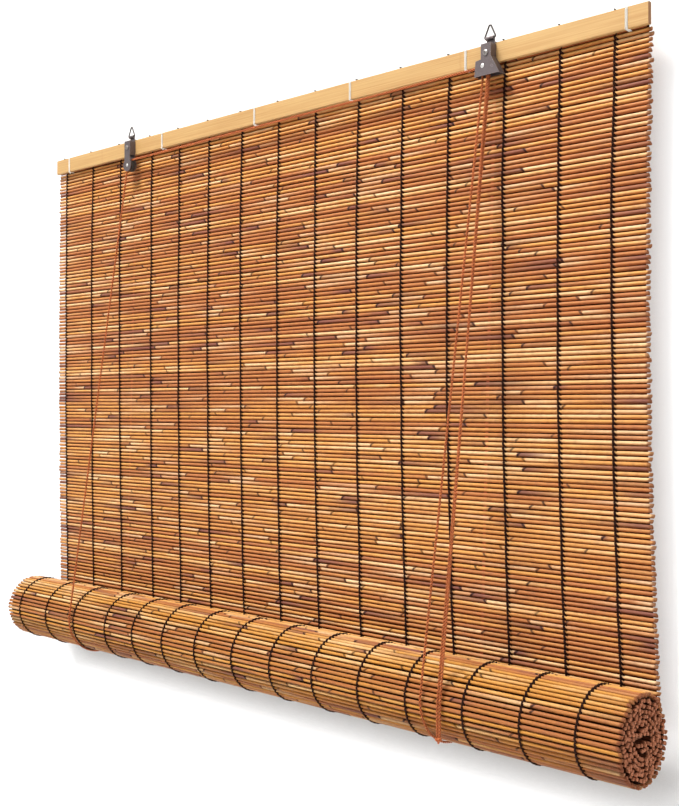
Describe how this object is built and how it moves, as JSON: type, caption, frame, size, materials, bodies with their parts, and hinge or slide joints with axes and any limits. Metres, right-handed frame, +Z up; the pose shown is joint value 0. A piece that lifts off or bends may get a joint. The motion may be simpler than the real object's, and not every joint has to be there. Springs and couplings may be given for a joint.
{
  "type": "reed roll-up shade",
  "caption": "Reed mat bound by warp threads under a bamboo header lath, partly rolled up in the loops of lift cords that run over a pulley and a cord lock; hangs by wire rings.",
  "frame": {"origin": "over the middle of the mat, on the line through the inside of the two hanging rings' tops, where hooks bear", "axes": "+X along the reeds to the right as seen from the front, -Y to the front, +Z up"},
  "size_m": [1.01, 0.0968, 0.7431],
  "materials": {
    "header_bamboo": "planed pale bamboo, satin",
    "tie_thread": "white twisted thread",
    "mat_reed": "dyed reed skin, glossy, with nodes",
    "roll_reed": "dyed reed skin, glossy, with dark cut ends",
    "core_bamboo": "planed bamboo",
    "warp_thread": "black twisted thread",
    "hanger_plate": "dark pressed steel, satin",
    "ring_wire": "darkened wire",
    "screw_steel": "plated screw",
    "rivet_steel": "bright rivet",
    "sheave_nylon": "moulded dark nylon",
    "cam_steel": "pressed steel",
    "cord": "orange-brown twisted cord"
  },
  "bodies": {
    "header": {"header_lath": "header_bamboo", "header_ties": "tie_thread", "reed_mat": "mat_reed", "warp_threads": "warp_thread", "left_hanger_plate": "hanger_plate", "left_pulley_cover": "hanger_plate", "left_screw": "screw_steel", "left_axle": "rivet_steel", "right_hanger_plate": "hanger_plate", "lock_housing": "hanger_plate", "right_screw": "screw_steel", "lock_axle": "rivet_steel", "lock_cam_pin": "rivet_steel", "left_front_cord": "cord", "left_back_cord": "cord", "right_front_cord": "cord", "right_back_cord": "cord", "cross_cord": "cord", "pull_cords": "cord", "lift_cord_knots": "cord"},
    "left_ring": {"left_ring": "ring_wire"},
    "right_ring": {"right_ring": "ring_wire"},
    "left_pulley": {"left_pulley": "sheave_nylon"},
    "lock_sheave": {"lock_sheave": "sheave_nylon"},
    "lock_cam": {"lock_cam": "cam_steel"},
    "cradle": {"left_cradle_cord": "cord", "right_cradle_cord": "cord", "pull_knot": "cord"},
    "roll": {"reed_roll": "roll_reed", "roll_warp_threads": "warp_thread", "bottom_lath": "core_bamboo"}
  },
  "joints": [
    {"name": "roll_lift", "type": "slide", "parent": "header", "child": "cradle", "axis": [0, 0, 1], "range_m": [0, 0.5308], "deforming": ["reed_mat", "warp_threads", "left_front_cord", "right_front_cord", "left_back_cord", "right_back_cord", "pull_cords"]},
    {"name": "roll_spin", "type": "hinge", "parent": "cradle", "child": "roll", "pos_m": [0, -0.03224, -0.69427], "axis": [1, 0, 0], "range_deg": [-720, 0]},
    {"name": "left_ring_swing", "type": "hinge", "parent": "header", "child": "left_ring", "pos_m": [-0.3045, 0, -0.0127], "axis": [1, 0, 0], "range_deg": [-90, 90]},
    {"name": "right_ring_swing", "type": "hinge", "parent": "header", "child": "right_ring", "pos_m": [0.3205, 0, -0.0127], "axis": [1, 0, 0], "range_deg": [-90, 90]},
    {"name": "left_pulley_spin", "type": "hinge", "parent": "header", "child": "left_pulley", "pos_m": [-0.3045, -0.00304, -0.0537], "axis": [0, 1, 0], "continuous": true},
    {"name": "lock_sheave_spin", "type": "hinge", "parent": "header", "child": "lock_sheave", "pos_m": [0.316, -0.00304, -0.0421], "axis": [0, 1, 0], "continuous": true},
    {"name": "lock_cam_swing", "type": "hinge", "parent": "header", "child": "lock_cam", "pos_m": [0.3283, -0.00304, -0.0443], "axis": [0, 1, 0], "range_deg": [-35, 0]}
  ],
  "couplings": [
    {"joint": "roll_spin", "follows": "roll_lift", "rad_per_m": -23.669},
    {"joint": "left_pulley_spin", "follows": "roll_lift", "rad_per_m": 270.27},
    {"joint": "lock_sheave_spin", "follows": "roll_lift", "rad_per_m": 476.19}
  ]
}
